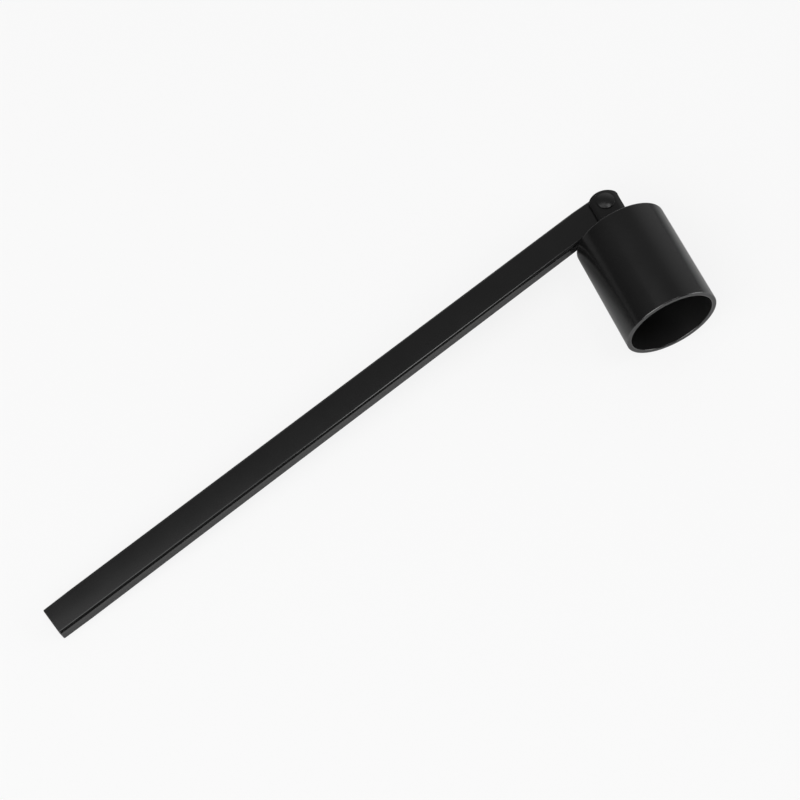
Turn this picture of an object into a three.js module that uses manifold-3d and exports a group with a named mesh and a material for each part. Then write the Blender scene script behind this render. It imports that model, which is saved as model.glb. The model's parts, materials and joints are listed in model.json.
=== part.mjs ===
// Candle snuffer: a flat handle bar, and a cup that swings on a riveted yoke at its end.
// Millimetres, +Z up. The pieces are built about the pivot in the flat swing plane,
// with the cup's axis along Y. The whole is then leant over the cup until the cup's
// side and the handle's free end both rest on the ground.

import * as THREE from "three";
import { mergeVertices } from "three/addons/utils/BufferGeometryUtils.js";
import Module from "manifold-3d";

// Cup
const CUP_DIAMETER = 25;
const CUP_HEIGHT = 29.6;
const CUP_WALL = 1.3;
const CROWN_THICKNESS = 1.3;
const CROWN_EDGE_ROUND = 0.35;
const RIM_EDGE_ROUND = 0.25;
const CUP_INNER_ROUND = 0.9;

// Handle bar
const HANDLE_WIDTH = 8.2;
const HANDLE_THICKNESS = 3.8;
const PIVOT_TO_HANDLE_END = 176;
const HANDLE_TIP_RADIUS = 3.8;
const HANDLE_TAPER_LENGTH = 8;
const HANDLE_EDGE_ROUND = 0.5;
const HANDLE_END_CORNER = 0.8;

// Hinge yoke, bent from sheet
const YOKE_SHEET = 1.5;
const YOKE_BEND_INNER = 0.5;
const PIVOT_TO_CROWN = 8.85;
const EAR_WIDTH = 8.0;
const PIVOT_TO_EAR_TOP = 3.55;
const EAR_TOP_RADIUS = 5.3;
const EAR_CORNER_RADIUS = 0.4;
const EAR_EDGE_ROUND = 0.3;

// Pivot rivet: the near head is the factory head, the far one is formed
const PIVOT_SHANK_DIAMETER = 2.8;
const PIVOT_HEAD_DIAMETER = 4.8;
const PIVOT_HEAD_HEIGHT = 0.7;
const PIVOT_HEAD_RIM = 0.25;
const FORMED_HEAD_DIAMETER = 4.1;
const FORMED_HEAD_HEIGHT = 0.8;
const FORMED_HEAD_RIM = 0.15;

// Crown rivet: a low head inside the cup, a small formed head on the yoke's web
const CROWN_SHANK_DIAMETER = 1.9;
const CROWN_HEAD_DIAMETER = 4.6;
const CROWN_HEAD_HEIGHT = 0.8;
const CROWN_HEAD_RIM = 0.15;
const CROWN_FORMED_DIAMETER = 2.6;
const CROWN_FORMED_HEIGHT = 0.6;
const CROWN_FORMED_RIM = 0.1;

// Fits
const EAR_GAP = 0.15;
const SEAT_GAP = 0.05;
const HOLE_CLEARANCE = 0.08;

// Angle of the handle below the plane of the cup's crown, as the snuffer lies
const HANDLE_DROP = THREE.MathUtils.degToRad(16.45);

// Satin black paint, a shade darker on the yoke and lighter on the rivets
const PAINT = { color: "#222222", roughness: 0.35, metalness: 0 };
const YOKE_PAINT = { ...PAINT, color: "#1f1f1f" };
const RIVET_PAINT = { ...PAINT, color: "#272727" };

// Smoothness
const CUP_SEGMENTS = 80;
const RIVET_SEGMENTS = 40;
const ARC_STEPS = 4;

// Sizes that follow from those above
const CUP_RADIUS = CUP_DIAMETER / 2;
const CUP_INNER_RADIUS = CUP_RADIUS - CUP_WALL;
const CROWN_TOP = -PIVOT_TO_CROWN;
const CROWN_UNDERSIDE = CROWN_TOP - CROWN_THICKNESS;
const MOUTH = CROWN_TOP - CUP_HEIGHT;
const YOKE_FOOT = CROWN_TOP + SEAT_GAP;
const WEB_TOP = YOKE_FOOT + YOKE_SHEET;
const SLOT_WIDTH = HANDLE_THICKNESS + 2 * EAR_GAP;
const YOKE_SPREAD = SLOT_WIDTH + 2 * YOKE_SHEET;
const PIVOT_HOLE_RADIUS = PIVOT_SHANK_DIAMETER / 2 + HOLE_CLEARANCE;
const CROWN_HOLE_RADIUS = CROWN_SHANK_DIAMETER / 2 + HOLE_CLEARANCE;

const QUARTER = Math.PI / 2;
const manifold = await Module();
manifold.setup();
const { Manifold, Mesh } = manifold;

// Closed solid for joining and cutting: shared corners are merged and triangles without area dropped.
function toSolid(geometry) {
  const bare = new THREE.BufferGeometry()
    .setAttribute("position", geometry.getAttribute("position"))
    .setIndex(geometry.index);
  const merged = mergeVertices(bare, 1e-4);
  const corners = merged.index.array;
  const kept = [];
  for (let i = 0; i < corners.length; i += 3) {
    const [a, b, c] = corners.subarray(i, i + 3);
    if (a !== b && b !== c && c !== a) kept.push(a, b, c);
  }
  return new Manifold(
    new Mesh({
      numProp: 3,
      vertProperties: merged.getAttribute("position").array,
      triVerts: new Uint32Array(kept),
    }),
  );
}

function toGeometry(solid) {
  const mesh = solid.getMesh();
  return new THREE.BufferGeometry()
    .setAttribute("position", new THREE.BufferAttribute(mesh.vertProperties, 3))
    .setIndex(new THREE.BufferAttribute(mesh.triVerts, 1));
}

// Profile points of an elliptic arc, from one angle to another.
function arc(x, y, rx, ry, from, to, steps = ARC_STEPS) {
  return Array.from({ length: steps + 1 }, (_, i) => {
    const angle = from + ((to - from) * i) / steps;
    return new THREE.Vector2(x + rx * Math.cos(angle), y + ry * Math.sin(angle));
  });
}

const point = (x, y) => new THREE.Vector2(x, y);

// Solid of revolution about the Y axis, from a profile that runs up the outside.
function revolve(profile, segments) {
  return toGeometry(toSolid(new THREE.LatheGeometry(profile, segments)));
}

// Plate of an outline in the XY plane, centred on z = 0, with its edges rounded.
function roundedPlate(outline, thickness, round, curveSegments) {
  const depth = thickness - 2 * round;
  return new THREE.ExtrudeGeometry(outline, {
    depth,
    curveSegments,
    bevelEnabled: true,
    bevelThickness: round,
    bevelSize: round,
    bevelOffset: -round,
    bevelSegments: ARC_STEPS,
  }).translate(0, 0, -depth / 2);
}

// Channel section with a round-cornered bottom at y = bottom, run along X over the given length.
function channel(width, bottom, top, corner, length) {
  const half = width / 2;
  const section = new THREE.Shape()
    .moveTo(-half, top)
    .lineTo(-half, bottom + corner)
    .absarc(corner - half, bottom + corner, corner, Math.PI, 3 * QUARTER, false)
    .absarc(half - corner, bottom + corner, corner, 3 * QUARTER, 4 * QUARTER, false)
    .lineTo(half, top)
    .closePath();
  const run = new THREE.ExtrudeGeometry(section, {
    depth: length,
    curveSegments: ARC_STEPS,
    bevelEnabled: false,
  });
  return toSolid(run.translate(0, 0, -length / 2).rotateY(QUARTER));
}

// Cup as one shell: crown, wall and rim, with a hole in the crown for its rivet.
function cupGeometry() {
  const inner = CUP_INNER_ROUND;
  const rim = RIM_EDGE_ROUND;
  const edge = CROWN_EDGE_ROUND;
  const profile = [
    point(CROWN_HOLE_RADIUS, CROWN_UNDERSIDE),
    ...arc(CUP_INNER_RADIUS - inner, CROWN_UNDERSIDE - inner, inner, inner, QUARTER, 0),
    ...arc(CUP_INNER_RADIUS + rim, MOUTH + rim, rim, rim, Math.PI, 3 * QUARTER),
    ...arc(CUP_RADIUS - rim, MOUTH + rim, rim, rim, -QUARTER, 0),
    ...arc(CUP_RADIUS - edge, CROWN_TOP - edge, edge, edge, 0, QUARTER),
    point(CROWN_HOLE_RADIUS, CROWN_TOP),
    point(CROWN_HOLE_RADIUS, CROWN_UNDERSIDE),
  ];
  return revolve(profile, CUP_SEGMENTS);
}

// Bar that narrows a little to a round, pierced tip about the pivot, with a square end with eased corners.
function handleGeometry() {
  const half = HANDLE_WIDTH / 2;
  const endX = HANDLE_END_CORNER - PIVOT_TO_HANDLE_END;
  const outline = new THREE.Shape()
    .absarc(0, 0, HANDLE_TIP_RADIUS, -QUARTER, QUARTER, false)
    .lineTo(-HANDLE_TAPER_LENGTH, half)
    .absarc(endX, half - HANDLE_END_CORNER, HANDLE_END_CORNER, QUARTER, Math.PI, false)
    .absarc(endX, HANDLE_END_CORNER - half, HANDLE_END_CORNER, Math.PI, 3 * QUARTER, false)
    .lineTo(-HANDLE_TAPER_LENGTH, -half)
    .closePath();
  const bar = toSolid(roundedPlate(outline, HANDLE_THICKNESS, HANDLE_EDGE_ROUND, 2 * ARC_STEPS));
  return toGeometry(bar.subtract(pivotHole()));
}

// Round cutter along the Y axis.
function drill(radius, length) {
  return new THREE.CylinderGeometry(radius, radius, length, RIVET_SEGMENTS);
}

function pivotHole() {
  return toSolid(drill(PIVOT_HOLE_RADIUS, 2 * YOKE_SPREAD).rotateX(QUARTER));
}

// Outline of the ears: straight sides, a shallow arched top and small round corners between them.
function earOutline() {
  const half = EAR_WIDTH / 2;
  const archY = PIVOT_TO_EAR_TOP - EAR_TOP_RADIUS;
  const cornerX = half - EAR_CORNER_RADIUS;
  const cornerRise = Math.sqrt((EAR_TOP_RADIUS - EAR_CORNER_RADIUS) ** 2 - cornerX ** 2);
  const turn = Math.atan2(cornerRise, cornerX);
  const corner = (x, from, to) =>
    arc(x, archY + cornerRise, EAR_CORNER_RADIUS, EAR_CORNER_RADIUS, from, to);
  const arch = arc(0, archY, EAR_TOP_RADIUS, EAR_TOP_RADIUS, turn, Math.PI - turn, 4 * ARC_STEPS);
  return new THREE.Shape([
    point(-half, YOKE_FOOT - YOKE_SHEET),
    point(half, YOKE_FOOT - YOKE_SHEET),
    ...corner(cornerX, 0, turn),
    ...arch.slice(1, -1),
    ...corner(-cornerX, Math.PI - turn, Math.PI),
  ]);
}

// Two ears and the web between them, with the web's bends rounded inside and out.
function yokeGeometry() {
  const top = 2 * PIVOT_TO_EAR_TOP;
  const length = 2 * EAR_WIDTH;
  const block = toSolid(roundedPlate(earOutline(), YOKE_SPREAD, EAR_EDGE_ROUND, 2 * ARC_STEPS));
  const outside = channel(YOKE_SPREAD, YOKE_FOOT, top, YOKE_BEND_INNER + YOKE_SHEET, length);
  const slot = channel(SLOT_WIDTH, WEB_TOP, top, YOKE_BEND_INNER, length);
  const crownHole = toSolid(drill(CROWN_HOLE_RADIUS, 4 * YOKE_SHEET).translate(0, YOKE_FOOT, 0));
  return toGeometry(block.intersect(outside).subtract(slot).subtract(pivotHole()).subtract(crownHole));
}

// Section of a domed head with a straight rim, from the rim's seat to the top on the axis.
// The head is above its seat for a side of 1 and below it for -1.
function headSection(diameter, height, rim, seat, side) {
  const radius = diameter / 2;
  const rise = height - rim;
  const dome = (radius ** 2 + rise ** 2) / (2 * rise);
  const middle = seat + side * (height - dome);
  return [point(radius, seat), ...arc(0, middle, dome, side * dome, Math.acos(radius / dome), QUARTER)];
}

// Low-headed rivet through both ears and the handle, turned so that its axis is Z.
function pivotRivetGeometry() {
  const seat = YOKE_SPREAD / 2 + SEAT_GAP;
  const shank = PIVOT_SHANK_DIAMETER / 2;
  const formed = headSection(FORMED_HEAD_DIAMETER, FORMED_HEAD_HEIGHT, FORMED_HEAD_RIM, -seat, -1);
  const profile = [
    ...formed.reverse(),
    point(shank, -seat),
    point(shank, seat),
    ...headSection(PIVOT_HEAD_DIAMETER, PIVOT_HEAD_HEIGHT, PIVOT_HEAD_RIM, seat, 1),
  ];
  return revolve(profile, RIVET_SEGMENTS).rotateX(QUARTER);
}

// Rivet along the cup's axis that clamps the yoke's web to the crown.
function crownRivetGeometry() {
  const headSeat = CROWN_UNDERSIDE - SEAT_GAP;
  const formedSeat = WEB_TOP + SEAT_GAP;
  const shank = CROWN_SHANK_DIAMETER / 2;
  const head = headSection(CROWN_HEAD_DIAMETER, CROWN_HEAD_HEIGHT, CROWN_HEAD_RIM, headSeat, -1);
  const profile = [
    ...head.reverse(),
    point(shank, headSeat),
    point(shank, formedSeat),
    ...headSection(CROWN_FORMED_DIAMETER, CROWN_FORMED_HEIGHT, CROWN_FORMED_RIM, formedSeat, 1),
  ];
  return revolve(profile, RIVET_SEGMENTS);
}

// Named piece with a coat of paint of its own.
function painted(name, geometry, paint) {
  const mesh = new THREE.Mesh(geometry, new THREE.MeshStandardMaterial(paint));
  mesh.name = name;
  return mesh;
}

// Lean about the cup's axis at which the handle's lowest corner is level with the cup's lowest line.
function restingLean(handle) {
  handle.updateMatrix();
  const placed = handle.geometry.clone().applyMatrix4(handle.matrix).getAttribute("position");
  const lowest = (lean) => {
    let low = Infinity;
    for (let i = 0; i < placed.count; i += 1)
      low = Math.min(low, placed.getX(i) * Math.sin(lean) + placed.getZ(i) * Math.cos(lean));
    return low;
  };
  let shallow = 0;
  let steep = QUARTER / 2;
  for (let step = 0; step < 40; step += 1) {
    const middle = (shallow + steep) / 2;
    if (lowest(middle) > -CUP_RADIUS) shallow = middle;
    else steep = middle;
  }
  return shallow;
}

const handle = painted("handle_bar", handleGeometry(), PAINT);
handle.rotation.z = HANDLE_DROP;

const swing = new THREE.Group();
swing.add(
  painted("snuffer_cup", cupGeometry(), PAINT),
  painted("hinge_yoke", yokeGeometry(), YOKE_PAINT),
  painted("pivot_rivet", pivotRivetGeometry(), RIVET_PAINT),
  painted("crown_rivet", crownRivetGeometry(), RIVET_PAINT),
);

const assembly = new THREE.Group();
assembly.add(handle, swing);
assembly.rotation.y = -restingLean(handle);

// The part's origin is the middle of its bounding box, at the ground.
const bounds = new THREE.Box3().setFromObject(assembly, true);
const middle = bounds.getCenter(new THREE.Vector3());
assembly.position.set(-middle.x, -middle.y, -bounds.min.z);

const snuffer = new THREE.Group();
snuffer.add(assembly);

export default snuffer;
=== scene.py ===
"""Candle snuffer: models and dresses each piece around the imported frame, and sets the studio that shows it.

Lengths are in metres. Each piece is modelled about the hinge's pivot in the flat swing plane, with the cup's
axis along Y and its mouth towards -Y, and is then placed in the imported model's frame.
"""

import json
import logging
import math
from collections.abc import Callable, Iterator, Sequence
from contextlib import contextmanager
from dataclasses import dataclass, field, replace
from enum import Enum

import bmesh
import bpy
from mathutils import Matrix, Vector


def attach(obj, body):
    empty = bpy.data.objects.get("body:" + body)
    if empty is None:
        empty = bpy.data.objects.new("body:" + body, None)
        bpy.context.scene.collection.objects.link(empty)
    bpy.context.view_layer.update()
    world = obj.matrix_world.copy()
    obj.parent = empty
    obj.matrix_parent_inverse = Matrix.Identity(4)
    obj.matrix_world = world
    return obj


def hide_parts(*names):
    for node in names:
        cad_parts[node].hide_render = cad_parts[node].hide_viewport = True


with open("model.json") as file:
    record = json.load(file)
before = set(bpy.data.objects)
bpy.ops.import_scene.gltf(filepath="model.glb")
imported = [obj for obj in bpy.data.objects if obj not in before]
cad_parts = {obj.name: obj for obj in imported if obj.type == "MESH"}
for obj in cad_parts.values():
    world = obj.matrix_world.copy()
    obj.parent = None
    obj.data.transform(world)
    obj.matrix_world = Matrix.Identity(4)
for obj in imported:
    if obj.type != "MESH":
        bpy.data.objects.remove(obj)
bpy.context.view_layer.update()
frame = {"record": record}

# A millimetre, and a length that counts as none
MM = 0.001
FINE = 1e-6

# Corners of a drilled hole, and the profile of a bevel that is a round arc
HOLE_STEPS = 64
ROUND_PROFILE = 0.5

# Angle between faces from which their edge is sharp, and how far large faces outweigh small ones in shading
SHARP_ANGLE = math.radians(40)
FLAT_WEIGHT = 80

# Cosine from which an edge is parallel to an axis, and the one that parts faces along Z from walls
PARALLEL = 0.999
FACING = 0.5

LOG = logging.getLogger("snuffer")


class Body(Enum):
    """Rigid body that a piece rides on."""

    HANDLE = "handle"
    CUP = "cup"


class Slot(Enum):
    """Material slot of the record that stands for a piece's finish."""

    HANDLE = "handle_finish"
    CUP = "cup_finish"
    YOKE = "yoke_finish"
    RIVET = "rivet_finish"


class Coat(Enum):
    """State of the paint on a face, by its material index."""

    WHOLE = 0
    RUBBED = 1
    # Inside the cup: rougher paint, painted paler as painted light
    SHELTERED = 2


class Grade(Enum):
    """Way in which a level changes between two places, by the name of its interpolation."""

    STRAIGHT = "LINEAR"
    SMOOTH = "SMOOTHSTEP"


class Element(Enum):
    """Kind of mesh element that is picked in edit mode, by the name of its select mode."""

    VERTEX = "VERT"
    EDGE = "EDGE"
    FACE = "FACE"


def clear_selection() -> None:
    """Leave edit mode and deselect every object."""
    if bpy.context.object and bpy.context.object.mode != "OBJECT":
        bpy.ops.object.mode_set(mode="OBJECT")
    bpy.ops.object.select_all(action="DESELECT")


def select_only(piece: bpy.types.Object) -> None:
    """Leave edit mode, and make one object the selected and active one.

    Args:
        piece: The object.
    """
    clear_selection()
    piece.select_set(True)
    bpy.context.view_layer.objects.active = piece


def take_new(name: str) -> bpy.types.Object:
    """Name the primitive that was just added, with its size and place applied to its mesh.

    Args:
        name: Name for the object and its mesh.

    Returns:
        The new object, selected and active.
    """
    piece = bpy.context.object
    piece.name = name
    piece.data.name = name
    bpy.ops.object.transform_apply(location=True, rotation=True, scale=True)
    return piece


@contextmanager
def editing(piece: bpy.types.Object) -> Iterator[None]:
    """Hold a piece in edit mode, with all of it selected at first.

    Args:
        piece: The object to edit, which becomes the only selected one.
    """
    select_only(piece)
    bpy.ops.object.mode_set(mode="EDIT")
    bpy.ops.mesh.select_mode(type="VERT")
    bpy.ops.mesh.select_all(action="SELECT")
    try:
        yield
    finally:
        bpy.ops.object.mode_set(mode="OBJECT")


def pick(piece: bpy.types.Object, kind: Element, test: Callable[..., bool]) -> None:
    """Select the mesh elements that pass a test, and no others, in edit mode.

    Args:
        piece: The object in edit mode.
        kind: Which elements are tested.
        test: Takes one bmesh element and says whether it is wanted.
    """
    bpy.ops.mesh.select_mode(type=kind.value)
    bpy.ops.mesh.select_all(action="DESELECT")
    mesh = bmesh.from_edit_mesh(piece.data)
    elements = {Element.VERTEX: mesh.verts, Element.EDGE: mesh.edges, Element.FACE: mesh.faces}[kind]
    for element in list(filter(test, elements)):
        element.select_set(True)
    mesh.select_flush_mode()
    bmesh.update_edit_mesh(piece.data)


def slice_all(at: Sequence[float], axis: Sequence[float]) -> None:
    """Cut all of the piece in edit mode along a plane.

    Args:
        at: Point of the plane.
        axis: Normal of the plane.
    """
    bpy.ops.mesh.select_all(action="SELECT")
    bpy.ops.mesh.bisect(plane_co=at, plane_no=axis, threshold=FINE)


def runs_along(edge: bmesh.types.BMEdge, axis: int) -> bool:
    """Say whether an edge is parallel to a coordinate axis."""
    along = edge.verts[1].co - edge.verts[0].co
    return along.length > 0 and abs(along[axis]) > PARALLEL * along.length


def middle(edge: bmesh.types.BMEdge) -> Vector:
    """Give the middle point of an edge."""
    return (edge.verts[0].co + edge.verts[1].co) / 2


def apply_modifier(piece: bpy.types.Object, kind: str, **settings: object) -> None:
    """Add a modifier, set it and apply it.

    Args:
        piece: The object that the modifier changes.
        kind: Blender's modifier type.
        **settings: Properties of the modifier.
    """
    select_only(piece)
    modifier = piece.modifiers.new(kind.title(), kind)
    for key, value in settings.items():
        setattr(modifier, key, value)
    bpy.ops.object.modifier_apply(modifier=modifier.name)


def cut_away(piece: bpy.types.Object, cutter: bpy.types.Object) -> None:
    """Take a cutter's volume out of a piece, and merge the corners that the cut doubles.

    Args:
        piece: The object that is cut.
        cutter: The object whose volume is taken out. It is removed.
    """
    apply_modifier(piece, "BOOLEAN", operation="DIFFERENCE", solver="EXACT", object=cutter)
    bpy.data.objects.remove(cutter)
    with editing(piece):
        bpy.ops.mesh.remove_doubles(threshold=FINE)


def smooth(piece: bpy.types.Object) -> None:
    """Shade a piece smooth between its sharp edges, with flat faces kept flat, and split many-cornered faces.

    Args:
        piece: The object.
    """
    select_only(piece)
    bpy.ops.object.shade_smooth_by_angle(angle=SHARP_ANGLE)
    apply_modifier(piece, "WEIGHTED_NORMAL", mode="FACE_AREA", weight=FLAT_WEIGHT, keep_sharp=True)
    apply_modifier(piece, "TRIANGULATE", ngon_method="BEAUTY", min_vertices=5, keep_custom_normals=True)


def mark(piece: bpy.types.Object, coat: Coat) -> None:
    """Give the faces that are selected in edit mode their state of paint.

    Args:
        piece: The object in edit mode.
        coat: The state.
    """
    while len(piece.data.materials) <= coat.value:
        piece.data.materials.append(None)
    piece.active_material_index = coat.value
    bpy.ops.object.material_slot_assign()


def bevel_picked(size: float, steps: int) -> None:
    """Round the edges that are selected in edit mode.

    Args:
        size: Size of the rounding.
        steps: Faces across it.
    """
    bpy.ops.mesh.bevel(offset=size, segments=steps, profile=ROUND_PROFILE, affect="EDGES")


def round_edges(
    piece: bpy.types.Object,
    size: float,
    steps: int,
    coat: Coat,
    where: Callable[[bmesh.types.BMEdge], bool] = lambda edge: True,
) -> None:
    """Round the sharp edges of a piece in edit mode.

    Args:
        piece: The object.
        size: Size of the rounding.
        steps: Faces across it.
        coat: State of the paint on it.
        where: Takes a sharp edge and says whether it is rounded.
    """

    def is_wanted(edge: bmesh.types.BMEdge) -> bool:
        """Say whether an edge is sharp and is to be rounded."""
        return edge.is_manifold and edge.calc_face_angle() > SHARP_ANGLE and where(edge)

    pick(piece, Element.EDGE, is_wanted)
    bevel_picked(size, steps)
    mark(piece, coat)


def settle(piece: bpy.types.Object, place: Matrix) -> None:
    """Move an object from where it was modelled to its place, in its mesh.

    Args:
        piece: The object, modelled about the pivot.
        place: From there to its place.
    """
    select_only(piece)
    piece.matrix_world = place
    bpy.ops.object.transform_apply(location=True, rotation=True, scale=True)


def drill(piece: bpy.types.Object, radius: float, depth: float, place: Matrix) -> None:
    """Drill a round hole.

    Args:
        piece: The object.
        radius: Radius of the hole.
        depth: Length of the drill, half of it on each side of its place.
        place: From a drill about the pivot, along Z, to the place of this one.
    """
    clear_selection()
    bpy.ops.mesh.primitive_cylinder_add(vertices=HOLE_STEPS, radius=radius, depth=depth)
    cutter = take_new("drill")
    settle(cutter, place)
    cut_away(piece, cutter)


@dataclass(frozen=True)
class Corner:
    """Corner of a drawn section or outline.

    Attributes:
        across: Place along X, which is the distance from the axis in a turned section.
        along: Place along Y.
        fillet: Rounding of the corner, measured along its sides.
        steps: Edges across the rounding.
    """

    across: float
    along: float
    fillet: float = 0.0
    steps: int = 8

    @property
    def point(self) -> Vector:
        """The corner in the XY plane."""
        return Vector((self.across, self.along, 0.0))


def drawn(name: str, corners: Sequence[Corner], closed: bool) -> bpy.types.Object:
    """Draw a chain of edges in the XY plane by extruding one vertex, and round its corners.

    Args:
        name: Name of the new object.
        corners: The chain, in order.
        closed: Whether the last corner is joined to the first.

    Returns:
        The chain as an object without faces.
    """
    clear_selection()
    bpy.ops.mesh.primitive_plane_add(size=MM)
    piece = take_new(name)
    with editing(piece):
        bpy.ops.mesh.merge(type="CENTER")
        bpy.ops.transform.translate(value=corners[0].point)
        for last, this in zip(corners, corners[1:]):
            bpy.ops.mesh.extrude_region_move(TRANSFORM_OT_translate={"value": this.point - last.point})
        if closed:
            ends = (corners[0].point, corners[-1].point)
            pick(piece, Element.VERTEX, lambda v: any((v.co - end).length < FINE for end in ends))
            bpy.ops.mesh.edge_face_add()
        for corner in (c for c in corners if c.fillet):
            pick(piece, Element.VERTEX, lambda v, c=corner: (v.co - c.point).length < FINE)
            bpy.ops.mesh.bevel(
                offset=corner.fillet, segments=corner.steps, profile=ROUND_PROFILE, affect="VERTICES"
            )
    return piece


def thickened(piece: bpy.types.Object, depth: float) -> bpy.types.Object:
    """Fill a closed outline in the XY plane and extrude it to a plate whose middle stays in that plane.

    Args:
        piece: The outline.
        depth: Thickness of the plate.

    Returns:
        The same object, as a closed plate.
    """
    with editing(piece):
        bpy.ops.mesh.edge_face_add()
        bpy.ops.transform.translate(value=(0, 0, -depth / 2))
        bpy.ops.mesh.extrude_region_move(TRANSFORM_OT_translate={"value": (0, 0, depth)})
        bpy.ops.mesh.select_all(action="SELECT")
        bpy.ops.mesh.normals_make_consistent(inside=False)
    return piece


def turned(name: str, corners: Sequence[Corner], steps: int, closed: bool) -> bpy.types.Object:
    """Turn a section about the Y axis, as on a lathe.

    Args:
        name: Name of the new object.
        corners: The section, in order.
        steps: Faces round the axis.
        closed: Whether the section is a ring of its own, or starts and ends on the axis.

    Returns:
        The turned object.
    """
    piece = drawn(name, corners, closed)
    with editing(piece):
        bpy.ops.mesh.spin(steps=steps, angle=math.tau, center=(0, 0, 0), axis=(0, 1, 0))
        bpy.ops.mesh.select_all(action="SELECT")
        bpy.ops.mesh.remove_doubles(threshold=FINE)
        bpy.ops.mesh.normals_make_consistent(inside=False)
    return piece


def soften_face(
    piece: bpy.types.Object, side: int, fall: float, reach: float, where: Callable[[Vector], bool]
) -> None:
    """Let a flat face that looks along Z fall away towards its outline, like a shallow cushion.

    Args:
        piece: The object in edit mode, with the face cut into strips.
        side: 1 for the face that looks up, -1 for the one that looks down.
        fall: How far the outline goes down.
        reach: Distance from the outline at which the face keeps its height.
        where: Takes a point of the outline and says whether it goes down.
    """

    def on_outline(vertex: bmesh.types.BMVert) -> bool:
        """Say whether a vertex is between a wall and the face, where the outline goes down."""
        rises = [side * face.normal.z for face in vertex.link_faces]
        return min(map(abs, rises)) < FACING < max(rises) and where(vertex.co)

    pick(piece, Element.VERTEX, on_outline)
    bpy.ops.transform.translate(
        value=(0, 0, -side * fall),
        use_proportional_edit=True,
        proportional_edit_falloff="SHARP",
        proportional_size=reach,
    )


@dataclass(frozen=True)
class SwingFrame:
    """Place of the hinge in the row frame.

    Attributes:
        pivot: The rivet's middle.
        lean: Turn of the swing plane about the cup's axis, as the snuffer lies.
        drop: Turn of the handle in the swing plane, from square to the cup's axis.
    """

    pivot: Vector
    lean: float
    drop: float

    @classmethod
    def from_record(cls, record: dict) -> "SwingFrame":
        """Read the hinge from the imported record.

        Args:
            record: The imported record, with the cup's joint and the handle's end as a mount.

        Returns:
            The hinge's place.
        """
        joint = record["behaviour"]["joints"][0]
        butt = next(mount for mount in record["mounts"] if mount["name"] == "handle_butt")
        axis = Vector(joint["axis"])
        return cls(Vector(joint["pos_m"]), math.atan2(-axis.x, axis.z), math.asin(-butt["axis"][1]))

    @property
    def cup_place(self) -> Matrix:
        """From the pivot's frame to the row frame, for what swings with the cup."""
        return Matrix.Translation(self.pivot) @ Matrix.Rotation(-self.lean, 4, "Y")

    @property
    def handle_place(self) -> Matrix:
        """From the pivot's frame to the row frame, for the handle, which runs along X."""
        return self.cup_place @ Matrix.Rotation(self.drop, 4, "Z")


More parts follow.
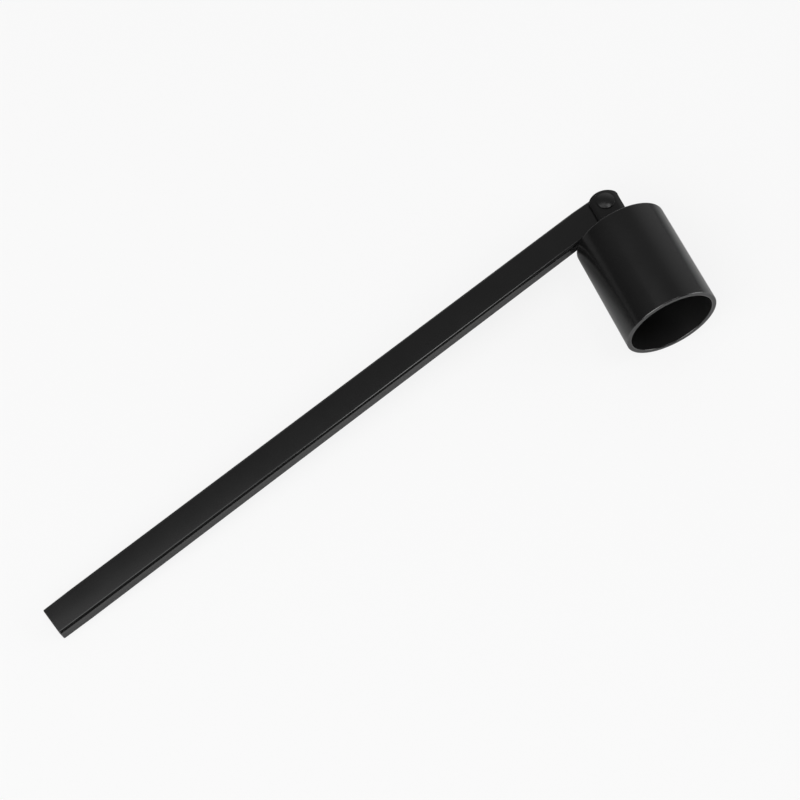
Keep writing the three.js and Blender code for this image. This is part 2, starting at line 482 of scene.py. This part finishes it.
@dataclass(frozen=True)
class SatinBlack:
    """Satin black paint on steel: a faint orange peel, an uneven sheen, edges rubbed a little smoother, and a
    paler coat inside the cup that is painted light.

    Attributes:
        name: Name of the material.
        tone: Linear brightness of the paint.
        dark_tint: Share of the tone in each colour where the paint is darkest.
        pale_tint: The same where it is palest.
        gloss: Strength of the paint's mirror reflection, 0.5 for a plain film.
        index: Refractive index, higher where steel shows through thin paint.
        worn_index: The same on rubbed edges.
        roughness: Mean roughness of the paint film.
        sheen_spread: How far the roughness varies from place to place.
        cloud_size: Size of the places where tone and roughness differ.
        cloud_detail: Steps of finer clouds in them.
        cloud_span: Levels of the clouds between which the roughness varies.
        peel_size: Size of the orange peel's bumps.
        peel_detail: Steps of finer bumps in them.
        peel_depth: Height of the orange peel's bumps.
        rubbed_tone: Factor for the tone on rubbed edges.
        rubbed_roughness: Factor for the roughness there.
        rubbed_peel: Factor for the orange peel's height there.
        sheltered_tone: Factor for the tone inside the cup, a painted lightening that stands in for light
            inside it.
        sheltered_roughness: Factor for the roughness there.
        sheltered_gloss: Strength of the mirror reflection there.
    """

    name: str
    tone: float = 0.0045
    dark_tint: tuple[float, float, float] = (0.9, 0.9, 0.9)
    pale_tint: tuple[float, float, float] = (1.12, 1.1, 1.1)
    gloss: float = 0.5
    index: float = 1.5
    worn_index: float = 1.6
    roughness: float = 0.22
    sheen_spread: float = 0.03
    cloud_size: float = 9 * MM
    cloud_detail: float = 4.0
    cloud_span: tuple[float, float] = (0.3, 0.7)
    peel_size: float = 0.9 * MM
    peel_detail: float = 2.0
    peel_depth: float = 0.0010 * MM
    rubbed_tone: float = 1.3
    rubbed_roughness: float = 0.7
    rubbed_peel: float = 0.4
    sheltered_tone: float = 1.8
    sheltered_roughness: float = 2.0
    sheltered_gloss: float = 0.35

    def state(self, coat: Coat) -> "SatinBlack":
        """Give the same paint as it is on edges rubbed thin and smooth, or inside the cup, where it is
        rougher and painted paler as painted light.

        Args:
            coat: The state of the paint.

        Returns:
            The finish in that state.
        """
        name = f"{self.name}_{coat.name.lower()}"
        if coat is Coat.RUBBED:
            return replace(
                self,
                name=name,
                tone=self.rubbed_tone * self.tone,
                index=self.worn_index,
                roughness=self.rubbed_roughness * self.roughness,
                peel_depth=self.rubbed_peel * self.peel_depth,
            )
        # Inside the cup the tone is raised: painted light that stands in for light reaching in there
        if coat is Coat.SHELTERED:
            return replace(
                self,
                name=name,
                tone=self.sheltered_tone * self.tone,
                gloss=self.sheltered_gloss,
                roughness=self.sheltered_roughness * self.roughness,
            )
        return self

    def material(self) -> bpy.types.Material:
        """Build the node material.

        Returns:
            The finished material.
        """
        material = bpy.data.materials.new(self.name)
        material.use_nodes = True
        nodes, links = material.node_tree.nodes, material.node_tree.links
        shader = nodes["Principled BSDF"]
        shader.inputs["Metallic"].default_value = 0.0
        shader.inputs["IOR"].default_value = self.index
        shader.inputs["Specular IOR Level"].default_value = self.gloss
        coordinates = nodes.new("ShaderNodeTexCoord").outputs["Object"]

        cloud = nodes.new("ShaderNodeTexNoise")
        cloud.inputs["Scale"].default_value = 1 / self.cloud_size
        cloud.inputs["Detail"].default_value = self.cloud_detail
        links.new(coordinates, cloud.inputs["Vector"])
        colour = nodes.new("ShaderNodeMix")
        colour.data_type = "RGBA"
        colour.inputs["A"].default_value = (*(self.tone * share for share in self.dark_tint), 1)
        colour.inputs["B"].default_value = (*(self.tone * share for share in self.pale_tint), 1)
        links.new(cloud.outputs["Fac"], colour.inputs["Factor"])
        links.new(colour.outputs["Result"], shader.inputs["Base Color"])

        sheen = nodes.new("ShaderNodeMapRange")
        sheen.inputs["From Min"].default_value, sheen.inputs["From Max"].default_value = self.cloud_span
        sheen.inputs["To Min"].default_value = self.roughness - self.sheen_spread
        sheen.inputs["To Max"].default_value = self.roughness + self.sheen_spread
        links.new(cloud.outputs["Fac"], sheen.inputs["Value"])
        links.new(sheen.outputs["Result"], shader.inputs["Roughness"])

        peel = nodes.new("ShaderNodeTexNoise")
        peel.inputs["Scale"].default_value = 1 / self.peel_size
        peel.inputs["Detail"].default_value = self.peel_detail
        links.new(coordinates, peel.inputs["Vector"])
        bump = nodes.new("ShaderNodeBump")
        bump.inputs["Strength"].default_value = 1.0
        bump.inputs["Distance"].default_value = self.peel_depth
        links.new(peel.outputs["Fac"], bump.inputs["Height"])
        links.new(bump.outputs["Normal"], shader.inputs["Normal"])
        return material


@dataclass
class Piece:
    """What every piece of the snuffer has: its node, body, slot and finish.

    Attributes:
        node: CAD node that the piece stands for.
        body: Body that it rides on.
        slot: Slot of the record for its finish. It is not used.
        finish: Paint of the piece.
    """

    node: str
    body: Body
    slot: Slot
    finish: SatinBlack

    def build(self, swing: SwingFrame) -> bpy.types.Object:
        """Model the piece in its place. Each kind of piece has its own way.

        Args:
            swing: Place of the hinge.

        Returns:
            The finished mesh object.
        """
        raise NotImplementedError

    def dress(self, piece: bpy.types.Object) -> None:
        """Paint a piece in each state that its faces have, and join it to the frame in place of its node.

        Args:
            piece: The finished mesh object.
        """
        for coat in list(Coat)[: len(piece.data.materials)]:
            piece.data.materials[coat.value] = self.finish.state(coat).material()
        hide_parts(self.node)
        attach(piece, self.body.value)

    def make(self, swing: SwingFrame) -> None:
        """Build and dress the piece, and report it.

        Args:
            swing: Place of the hinge.
        """
        piece = self.build(swing)
        self.dress(piece)
        LOG.info("%s: %d faces, on %s", piece.name, len(piece.data.polygons), self.body.value)


@dataclass
class HandleBar(Piece):
    """Flat bar with a pierced round tip, its long upper edges rounder than its lower edges and its end.

    Attributes:
        width: Width of the wide faces.
        thickness: Distance between the wide faces.
        pivot_to_end: From the rivet to the free end.
        tip_radius: Reach of the round tip beyond the rivet.
        tip_share: Share of the tip's half width that each of its two fillets takes up.
        tip_steps: Edges across each of these fillets.
        tip_cut: Place along X of the cross cut next to the tip.
        taper: Length over which the bar narrows to the tip.
        upper_round: Rounding of the long upper edges.
        upper_steps: Faces across that rounding.
        lower_round: Rounding of the other edges.
        lower_steps: Faces across that rounding.
        end_ease: How much narrower each side is at the free end.
        end_ease_length: Length over which the bar narrows to that end.
        hole_radius: Radius of the rivet's hole.
        crown: How far the wide faces fall away to their long edges.
        crown_strips: Lengthwise cuts on each side of the middle.
    """

    width: float = 8.2 * MM
    thickness: float = 3.8 * MM
    pivot_to_end: float = 175.9 * MM
    tip_radius: float = 3.78 * MM
    tip_share: float = 0.998
    tip_steps: int = 32
    tip_cut: float = -0.5 * MM
    taper: float = 8.0 * MM
    upper_round: float = 0.85 * MM
    upper_steps: int = 8
    lower_round: float = 0.25 * MM
    lower_steps: int = 4
    end_ease: float = 0.12 * MM
    end_ease_length: float = 8.0 * MM
    hole_radius: float = 1.48 * MM
    crown: float = 0.08 * MM
    crown_strips: int = 3

    def build(self, swing: SwingFrame) -> bpy.types.Object:
        """Draw the bar's outline, thicken it, crown it, and round its edges.

        Args:
            swing: Place of the hinge.

        Returns:
            The bar in its place.
        """
        half = self.width / 2
        nose = self.tip_radius * (1 - (half - self.tip_radius) / self.taper)
        eased = half - self.end_ease
        ease_start = self.end_ease_length - self.pivot_to_end
        outline = (
            Corner(-self.pivot_to_end, -eased),
            Corner(ease_start, -half),
            Corner(-self.taper, -half),
            Corner(self.tip_radius, -nose, self.tip_share * nose, self.tip_steps),
            Corner(self.tip_radius, nose, self.tip_share * nose, self.tip_steps),
            Corner(-self.taper, half),
            Corner(ease_start, half),
            Corner(-self.pivot_to_end, eased),
        )
        bar = thickened(drawn("handle_bar_piece", outline, closed=True), self.thickness)
        with editing(bar):
            # The lengthwise cuts meet the hole's rim at its corners, so that drilling leaves no slivers.
            hole_corner = self.hole_radius * math.sin(math.pi / 4)
            for strip in range(-self.crown_strips, self.crown_strips + 1):
                slice_all((0, strip * hole_corner, 0), (0, 1, 0))
            for along in (self.tip_cut, -self.taper, ease_start):
                slice_all((along, 0, 0), (1, 0, 0))
            straight = self.tip_radius - self.upper_round
            for side in (1, -1):
                soften_face(bar, side, self.crown, half, lambda point: abs(point.y) >= straight)
            round_edges(bar, self.upper_round, self.upper_steps, Coat.RUBBED, self.is_long_upper)
            round_edges(bar, self.lower_round, self.lower_steps, Coat.RUBBED)
        drill(bar, self.hole_radius, 2 * self.thickness, Matrix())
        smooth(bar)
        settle(bar, swing.handle_place)
        return bar

    def is_long_upper(self, edge: bmesh.types.BMEdge) -> bool:
        """Say whether an edge of the plate is on its upper face and not on its end."""
        return middle(edge).z > 0 and middle(edge).x > FINE - self.pivot_to_end


@dataclass
class SnufferCup(Piece):
    """Straight-sided cup with a flat crown, an open mouth and a flat rim, all edges slightly rounded.

    Attributes:
        diameter: Outer diameter.
        height: From the mouth to the top of the crown.
        wall: Thickness of the wall.
        crown_thickness: Thickness of the crown.
        crown_edge: Rounding of the crown's outer edge.
        rim_edge: Rounding of the rim's two edges.
        inner_round: Rounding between wall and crown inside the cup.
        pivot_to_crown: From the hinge's rivet to the top of the crown.
        hole_radius: Radius of the crown rivet's hole.
        steps: Faces round the axis.
        wall_cosine: The normal of a face of the wall has less than this along the axis.
        flat_cosine: The normal of a face of the crown or the rim has more than this along the axis.
    """

    diameter: float = 24.99 * MM
    height: float = 29.6 * MM
    wall: float = 1.3 * MM
    crown_thickness: float = 1.3 * MM
    crown_edge: float = 0.35 * MM
    rim_edge: float = 0.25 * MM
    inner_round: float = 0.9 * MM
    pivot_to_crown: float = 8.85 * MM
    hole_radius: float = 1.03 * MM
    steps: int = 256
    wall_cosine: float = 0.05
    flat_cosine: float = 0.999

    def build(self, swing: SwingFrame) -> bpy.types.Object:
        """Turn the cup's shell.

        Args:
            swing: Place of the hinge.

        Returns:
            The cup in its place.
        """
        outer = self.diameter / 2
        inner = outer - self.wall
        top = -self.pivot_to_crown
        under = top - self.crown_thickness
        mouth = top - self.height
        section = (
            Corner(self.hole_radius, under),
            Corner(inner, under, self.inner_round),
            Corner(inner, mouth, self.rim_edge),
            Corner(outer, mouth, self.rim_edge),
            Corner(outer, top, self.crown_edge),
            Corner(self.hole_radius, top),
        )
        cup = turned("snuffer_cup_piece", section, self.steps, closed=True)
        with editing(cup):
            pick(cup, Element.FACE, lambda f: self.wall_cosine < abs(f.normal.y) < self.flat_cosine)
            mark(cup, Coat.RUBBED)
            # The faces inside the cup get the paler paint, which is painted light
            pick(cup, Element.FACE, lambda f: self.is_inside(f, under))
            mark(cup, Coat.SHELTERED)
        smooth(cup)
        settle(cup, swing.cup_place)
        return cup

    def is_inside(self, face: bmesh.types.BMFace, under: float) -> bool:
        """Say whether a face of the shell is inside the cup.

        Args:
            face: The face.
            under: Place of the crown's underside along Y.

        Returns:
            Whether it faces the cup's axis, or is the crown's underside or its rounding.
        """
        centre = face.calc_center_median()
        inward = centre.x * face.normal.x + centre.z * face.normal.z < 0
        on_wall = abs(face.normal.y) < self.wall_cosine
        under_crown = face.normal.y < -self.wall_cosine and centre.y > under - self.inner_round
        return inward and on_wall or under_crown


@dataclass
class HingeYoke(Piece):
    """Bent strap with two arched ears over the handle's tip, and a web on the cup's crown.

    Attributes:
        ear_width: Width of the ears.
        sheet: Thickness of the strap.
        gap: Distance between the ears.
        bend_inner: Inner radius of the two bends.
        bend_steps: Faces across a bend on the outside.
        inner_bend_steps: Faces across a bend on the inside.
        foot: Place along Y of the web's underside.
        arch_apex: Place along Y where the arch's two slopes would meet.
        arch_fillet: Rounding of the arch, measured along its slopes.
        arch_steps: Edges across that rounding.
        shoulder: Place along Y where the straight sides meet the slopes.
        shoulder_fillet: Rounding of these two corners.
        ear_top: Height of the ears above the rivet.
        edge_round: Rounding of the sharp edges.
        edge_steps: Faces across that rounding.
        cushion: How far the ears' wide faces fall away to their outline.
        cushion_reach: Distance from the outline over which they fall.
        flanks: How much further they fall at their left and at their right edge.
        flank_reach: Distance from these edges over which they fall.
        hole_radius: Radius of the pivot rivet's hole.
        web_hole_radius: Radius of the crown rivet's hole.
        strips_across: Lengthwise cuts on each side of the middle, as shares of half the width.
        strips_along: Cross cuts, as shares of the ears' height above the rivet.
    """

    ear_width: float = 8.1 * MM
    sheet: float = 1.5 * MM
    gap: float = 4.1 * MM
    bend_inner: float = 0.5 * MM
    bend_steps: int = 10
    inner_bend_steps: int = 8
    foot: float = -8.8 * MM
    arch_apex: float = 5.92 * MM
    arch_fillet: float = 5.35 * MM
    arch_steps: int = 24
    shoulder: float = 1.75 * MM
    shoulder_fillet: float = 0.4 * MM
    ear_top: float = 3.64 * MM
    edge_round: float = 0.22 * MM
    edge_steps: int = 5
    cushion: float = 0.3 * MM
    cushion_reach: float = 3.2 * MM
    flanks: tuple[float, float] = (0.65 * MM, 0.3 * MM)
    flank_reach: float = 1.8 * MM
    hole_radius: float = 1.48 * MM
    web_hole_radius: float = 1.03 * MM
    strips_across: tuple[float, ...] = (0.2, 0.4, 0.6, 0.68, 0.76, 0.84, 0.92)
    strips_along: tuple[float, ...] = (-1.6, -1.2, -0.8, -0.4, 0.0, 0.4, 0.6, 0.8)

    def build(self, swing: SwingFrame) -> bpy.types.Object:
        """Draw the ears' arched outline, thicken it, soften it, and cut the slot and the holes.

        Args:
            swing: Place of the hinge.

        Returns:
            The yoke in its place.
        """
        half = self.ear_width / 2
        spread = self.gap + 2 * self.sheet
        bend_outer = self.bend_inner + self.sheet
        bend_top = self.foot + bend_outer - FINE
        outline = (
            Corner(-half, self.foot),
            Corner(half, self.foot),
            Corner(half, self.shoulder, self.shoulder_fillet),
            Corner(0, self.arch_apex, self.arch_fillet, self.arch_steps),
            Corner(-half, self.shoulder, self.shoulder_fillet),
        )
        yoke = thickened(drawn("hinge_yoke_piece", outline, closed=True), spread)
        with editing(yoke):
            pick(yoke, Element.EDGE, lambda e: runs_along(e, 0) and middle(e).y < self.foot + FINE)
            bevel_picked(bend_outer, self.bend_steps)
            self.cut_strips(half)
            for side in (1, -1):
                soften_face(yoke, side, self.cushion, self.cushion_reach, lambda point: point.y > bend_top)
                for edge, fall in zip((-half, half), self.flanks):
                    soften_face(
                        yoke,
                        side,
                        fall,
                        self.flank_reach,
                        lambda point, at=edge: point.y > bend_top and abs(point.x - at) < FINE,
                    )
            round_edges(yoke, self.edge_round, self.edge_steps, Coat.WHOLE)
        cut_away(yoke, self.slot_cutter())
        drill(yoke, self.hole_radius, 2 * spread, Matrix())
        web = Matrix.Translation((0, self.foot, 0)) @ Matrix.Rotation(math.pi / 2, 4, "X")
        drill(yoke, self.web_hole_radius, 4 * self.sheet, web)
        smooth(yoke)
        settle(yoke, swing.cup_place)
        return yoke

    def cut_strips(self, half: float) -> None:
        """Cut the block into strips both ways, so that its wide faces can be softened.

        Args:
            half: Half the ears' width.
        """
        for share in (*(-share for share in reversed(self.strips_across)), 0.0, *self.strips_across):
            slice_all((share * half, 0, 0), (1, 0, 0))
        for share in self.strips_along:
            slice_all((0, share * self.ear_top, 0), (0, 1, 0))

    def slot_cutter(self) -> bpy.types.Object:
        """Model the block that opens the gap between the ears.

        Returns:
            A block with a round-cornered bottom.
        """
        bottom = self.foot + self.sheet
        top = 2 * self.ear_top
        clear_selection()
        bpy.ops.mesh.primitive_cube_add(
            size=1, location=(0, (bottom + top) / 2, 0), scale=(2 * self.ear_width, top - bottom, self.gap)
        )
        cutter = take_new("yoke_slot")
        with editing(cutter):
            pick(cutter, Element.EDGE, lambda e: runs_along(e, 0) and middle(e).y < bottom + FINE)
            bevel_picked(self.bend_inner, self.inner_bend_steps)
        return cutter


@dataclass(frozen=True)
class Head:
    """Domed head of a rivet.

    Attributes:
        diameter: Diameter at the seat.
        height: Height of the whole head.
        rim: Height of its straight rim.
        edge_share: Rounding between rim and dome, as a share of the rim's height.
        edge_steps: Edges across that rounding.
        dome_steps: Edges from the axis to the dome's edge.
    """

    diameter: float
    height: float
    rim: float
    edge_share: float = 1 / 6
    edge_steps: int = 4
    dome_steps: int = 10

    def section(self, seat: float, side: int) -> list[Corner]:
        """Give the head's section, from its top on the axis to its rim on the seat.

        Args:
            seat: Place of its seat along the axis.
            side: 1 for a head above its seat, -1 for one below.

        Returns:
            Corners of the section.
        """
        radius, rise = self.diameter / 2, self.height - self.rim
        dome = (radius**2 + rise**2) / (2 * rise)
        turns = [math.asin(radius / dome) * step / self.dome_steps for step in range(self.dome_steps)]
        heights = [self.height - dome * (1 - math.cos(turn)) for turn in turns]
        return [
            *(Corner(dome * math.sin(turn), seat + side * height) for turn, height in zip(turns, heights)),
            Corner(radius, seat + side * self.rim, self.edge_share * self.rim, self.edge_steps),
            Corner(radius, seat),
        ]


@dataclass
class Rivet(Piece):
    """Rivet with a low factory head at its upper end and a formed head at the other.

    Attributes:
        head: The factory head.
        formed: The formed head.
        shank: Diameter of the shank.
        seats: Places of the lower and the upper head's seats along the axis.
        upright: Whether the axis is turned from Y to Z.
        steps: Faces round the axis.
    """

    head: Head = Head(diameter=4.8 * MM, height=0.7 * MM, rim=0.25 * MM)
    formed: Head = Head(diameter=4.1 * MM, height=0.8 * MM, rim=0.15 * MM)
    shank: float = 2.8 * MM
    seats: tuple[float, float] = (-3.6 * MM, 3.6 * MM)
    upright: bool = True
    steps: int = 96

    def build(self, swing: SwingFrame) -> bpy.types.Object:
        """Turn the rivet.

        Args:
            swing: Place of the hinge.

        Returns:
            The rivet in its place.
        """
        low, high = self.seats
        section = (
            *self.formed.section(low, -1),
            Corner(self.shank / 2, low),
            Corner(self.shank / 2, high),
            *reversed(self.head.section(high, 1)),
        )
        rivet = turned(f"{self.node}_piece", section, self.steps, closed=False)
        with editing(rivet):
            mark(rivet, Coat.WHOLE)
        smooth(rivet)
        turn = Matrix.Rotation(math.pi / 2, 4, "X") if self.upright else Matrix()
        settle(rivet, swing.cup_place @ turn)
        return rivet


@dataclass(frozen=True)
class Lamp:
    """Soft rectangular lamp.

    Attributes:
        name: Name of the lamp.
        at: Its place.
        size: Sides of its rectangle.
        power: Power in watts.
        aim: Point that it faces.
        turn: Turn of the rectangle about its line of light.
    """

    name: str
    at: tuple[float, float, float]
    size: tuple[float, float]
    power: float
    aim: tuple[float, float, float] = (0.0, 0.0, 0.0)
    turn: float = 0.0

    def hang(self) -> None:
        """Put the lamp in its place."""
        clear_selection()
        bpy.ops.object.light_add(type="AREA", location=self.at)
        lamp = bpy.context.object
        lamp.name = self.name
        lamp.data.shape = "RECTANGLE"
        lamp.data.size, lamp.data.size_y = self.size
        lamp.data.energy = self.power
        line = (Vector(self.aim) - Vector(self.at)).to_track_quat("-Z", "Y").to_matrix()
        lamp.rotation_euler = (line @ Matrix.Rotation(self.turn, 3, "Z")).to_euler()


@dataclass(frozen=True)
class Gradient:
    """Level that changes along an axis.

    Attributes:
        axis: The axis.
        span: Places along the axis between which the level changes.
        levels: The level at each of these places.
        grade: Way in which it changes.
    """

    axis: tuple[float, float, float]
    span: tuple[float, float]
    levels: tuple[float, float]
    grade: Grade = Grade.SMOOTH

    def level(self, tree: bpy.types.NodeTree, point: bpy.types.NodeSocket) -> bpy.types.NodeSocket:
        """Add the nodes that give the level at a point, or in a direction.

        Args:
            tree: Node tree that gets the nodes.
            point: Socket with the point or the direction.

        Returns:
            Socket with the level.
        """
        along = tree.nodes.new("ShaderNodeVectorMath")
        along.operation = "DOT_PRODUCT"
        along.inputs[1].default_value = Vector(self.axis).normalized()
        tree.links.new(point, along.inputs[0])
        change = tree.nodes.new("ShaderNodeMapRange")
        change.interpolation_type = self.grade.value
        change.inputs["From Min"].default_value, change.inputs["From Max"].default_value = self.span
        change.inputs["To Min"].default_value, change.inputs["To Max"].default_value = self.levels
        tree.links.new(along.outputs["Value"], change.inputs["Value"])
        return change.outputs["Result"]


def combined(
    tree: bpy.types.NodeTree, operation: str, first: bpy.types.NodeSocket, second: bpy.types.NodeSocket
) -> bpy.types.NodeSocket:
    """Add the node that joins two levels.

    Args:
        tree: Node tree that gets the node.
        operation: Blender's name of what is done with them.
        first: One level.
        second: The other level.

    Returns:
        Socket with the result.
    """
    node = tree.nodes.new("ShaderNodeMath")
    node.operation = operation
    tree.links.new(first, node.inputs[0])
    tree.links.new(second, node.inputs[1])
    return node.outputs[0]


@dataclass
class Studio:
    """White table, soft surroundings and the camera of the photograph.

    Attributes:
        swing: Place of the hinge, whose pivot the camera's places are measured from.
        camera_at: Camera position.
        aim: Point that the camera looks at.
        roll: Turn of the camera about its line of sight.
        lens: Focal length in millimetres.
        sensor: Width of the camera's sensor in millimetres.
        nearest: Distance from which the camera sees.
        table: Side of the square table.
        table_tones_with_painted_shade: Paleness of the table in front of the bar, and behind it, where it is
            greyer as painted shade.
        painted_shade_fade: Distances across the bar between which the painted shade comes in.
        white_share: How far the table is plain white to the camera. The rest of it shows the shadow.
        backdrop_tone: Paleness of the surroundings to the camera, as of the far table.
        mirrored_share: How far gloss and glass show the table and the surroundings as the camera does.
        sky: Light of the surroundings, from level to overhead.
        behind: Share of that light, from the camera's side to the far side.
        window: Light of a window on the right.
        wall: Light of a pale wall at the back.
        lamps: Soft lamps: two overhead, whose reflections show in the paint, and one on each side.
    """

    swing: SwingFrame
    camera_at: Vector = field(default_factory=lambda: Vector((-128.918, -191.385, 321.884)) * MM)
    aim: Vector = field(default_factory=lambda: Vector((-69.322, -25.465, -12.476)) * MM)
    roll: float = math.radians(-2.936)
    lens: float = 66.28
    sensor: float = 36.0
    nearest: float = 10 * MM
    table: float = 6.0
    table_tones_with_painted_shade: tuple[float, float] = (0.85, 0.36)
    painted_shade_fade: tuple[float, float] = (-15 * MM, 25 * MM)
    white_share: float = 0.84
    backdrop_tone: float = 0.87
    mirrored_share: float = 0.02
    sky: Gradient = Gradient(axis=(0, 0, 1), span=(0.05, 0.9), levels=(0.09, 0.25))
    behind: Gradient = Gradient(axis=(0, 1, 0), span=(-0.25, 0.25), levels=(0.1, 1.0))
    window: Gradient = Gradient(axis=(0.85, 0.43, 0.3), span=(0.72, 1.0), levels=(0.0, 0.2))
    wall: Gradient = Gradient(axis=(0.45, 0.88, 0.12), span=(0.66, 1.0), levels=(0.0, 0.4))
    lamps: tuple[Lamp, ...] = (
        Lamp(
            name="overhead_softbox",
            at=(-0.26, 0.12, 1.0),
            size=(0.75, 0.5),
            power=1.1,
            aim=(-0.26, 0.12, 0.0),
            turn=math.radians(-14),
        ),
        Lamp(
            name="overhead_fill",
            at=(0.3, -0.105, 1.0),
            size=(0.3, 0.39),
            power=0.92,
            aim=(0.3, -0.105, 0.0),
        ),
        Lamp(name="right_softbox", at=(1.26, -0.42, 0.45), size=(1.2, 0.7), power=6.6),
        Lamp(name="left_softbox", at=(-0.93, -0.7, 0.94), size=(2.0, 1.0), power=19.0),
    )

    def build(self) -> None:
        """Set the table, the surroundings, the lamps and the camera."""
        bpy.context.scene.view_settings.view_transform = "Standard"
        self.lay_table()
        self.light_surroundings()
        for lamp in self.lamps:
            lamp.hang()
        self.set_camera()

    def lay_table(self) -> None:
        """Lay a pale table top that shows white and keeps a soft shadow, and that is greyer behind the bar,
        as painted shade, in the light that it gives back.
        """
        clear_selection()
        bpy.ops.mesh.primitive_plane_add(size=self.table)
        table = take_new("table_top")
        material = bpy.data.materials.new("white_table")
        material.use_nodes = True
        nodes, links = material.node_tree.nodes, material.node_tree.links
        nodes.remove(nodes["Principled BSDF"])
        across = tuple(self.swing.handle_place.to_3x3() @ Vector((0, 1, 0)))
        # Painted shade: the lit table is greyer behind the bar, as if in the shade of the bar and the cup
        painted_shade_gradient = Gradient(across, self.painted_shade_fade, self.table_tones_with_painted_shade, Grade.STRAIGHT)
        point = nodes.new("ShaderNodeTexCoord").outputs["Object"]
        painted_shade_matt = nodes.new("ShaderNodeBsdfDiffuse")
        links.new(painted_shade_gradient.level(material.node_tree, point), painted_shade_matt.inputs["Color"])
        even = nodes.new("ShaderNodeBsdfDiffuse")
        front = self.table_tones_with_painted_shade[0]
        even.inputs["Color"].default_value = (front, front, front, 1)
        white = nodes.new("ShaderNodeEmission")
        shown = nodes.new("ShaderNodeMixShader")
        shown.inputs[0].default_value = self.white_share
        links.new(even.outputs[0], shown.inputs[1])
        links.new(white.outputs[0], shown.inputs[2])
        self.show(material.node_tree, shown, painted_shade_matt, nodes["Material Output"])
        table.data.materials.append(material)

    def show(
        self,
        tree: bpy.types.NodeTree,
        shown: bpy.types.ShaderNode,
        lit: bpy.types.ShaderNode,
        output: bpy.types.ShaderNode,
    ) -> None:
        """Show the camera one shader, and gloss and glass a little of it, while another lights the scene.

        Args:
            tree: Node tree of the table's material or of the surroundings.
            shown: Shader that the camera sees.
            lit: Shader that takes part in the lighting.
            output: Output node of the tree.
        """
        path = tree.nodes.new("ShaderNodeLightPath")
        blend = tree.nodes.new("ShaderNodeMixShader")
        into = blend.inputs[0]
        shares = {
            "Is Camera Ray": 1.0,
            "Is Glossy Ray": self.mirrored_share,
            "Is Transmission Ray": self.mirrored_share,
        }
        for ray, share in shares.items():
            part = tree.nodes.new("ShaderNodeMath")
            part.operation = "MULTIPLY_ADD"
            part.inputs[1].default_value = share
            part.inputs[2].default_value = 0.0
            tree.links.new(path.outputs[ray], part.inputs[0])
            tree.links.new(part.outputs[0], into)
            into = part.inputs[2]
        tree.links.new(lit.outputs[0], blend.inputs[1])
        tree.links.new(shown.outputs[0], blend.inputs[2])
        tree.links.new(blend.outputs[0], output.inputs["Surface"])

    def light_surroundings(self) -> None:
        """Give the world a dim room, lighter overhead and on the far side, with a pale wall and a window."""
        world = bpy.data.worlds.new("studio")
        bpy.context.scene.world = world
        world.use_nodes = True
        tree = world.node_tree
        nodes = tree.nodes
        direction = nodes.new("ShaderNodeTexCoord").outputs["Generated"]
        sky = self.sky.level(tree, direction)
        total = combined(tree, "MULTIPLY", sky, self.behind.level(tree, direction))
        for pale in (self.window, self.wall):
            total = combined(tree, "ADD", total, pale.level(tree, direction))
        room = nodes["Background"]
        room.inputs["Color"].default_value = (1, 1, 1, 1)
        tree.links.new(total, room.inputs["Strength"])
        backdrop = nodes.new("ShaderNodeBackground")
        backdrop.inputs["Color"].default_value = (1, 1, 1, 1)
        backdrop.inputs["Strength"].default_value = self.backdrop_tone
        self.show(tree, backdrop, room, nodes["World Output"])

    def set_camera(self) -> None:
        """Stand the camera where the photograph was taken from."""
        clear_selection()
        bpy.ops.object.camera_add(location=self.swing.pivot + self.camera_at)
        camera = bpy.context.object
        camera.name = "photograph_camera"
        sight = (self.aim - self.camera_at).to_track_quat("-Z", "Y").to_matrix()
        camera.rotation_euler = (sight @ Matrix.Rotation(self.roll, 3, "Z")).to_euler()
        camera.data.lens = self.lens
        camera.data.sensor_width = self.sensor
        camera.data.clip_start = self.nearest
        bpy.context.scene.camera = camera


def main() -> None:
    """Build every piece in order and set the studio."""
    logging.basicConfig(level=logging.INFO, format="%(message)s")
    swing = SwingFrame.from_record(frame["record"])
    pieces = (
        HandleBar("handle_bar", Body.HANDLE, Slot.HANDLE, SatinBlack("handle_paint", worn_index=1.8)),
        SnufferCup("snuffer_cup", Body.CUP, Slot.CUP, SatinBlack("cup_paint", worn_index=1.9)),
        HingeYoke("hinge_yoke", Body.CUP, Slot.YOKE, SatinBlack("yoke_paint", gloss=0.42)),
        Rivet("pivot_rivet", Body.CUP, Slot.RIVET, SatinBlack("pivot_rivet_paint")),
        Rivet(
            "crown_rivet",
            Body.CUP,
            Slot.RIVET,
            SatinBlack("crown_rivet_paint"),
            head=Head(diameter=2.6 * MM, height=0.6 * MM, rim=0.1 * MM),
            formed=Head(diameter=4.6 * MM, height=0.8 * MM, rim=0.15 * MM),
            shank=1.9 * MM,
            seats=(-10.2 * MM, -7.25 * MM),
            upright=False,
        ),
    )
    for piece in pieces:
        piece.make(swing)
    Studio(swing).build()


if __name__ == "__main__":
    main()
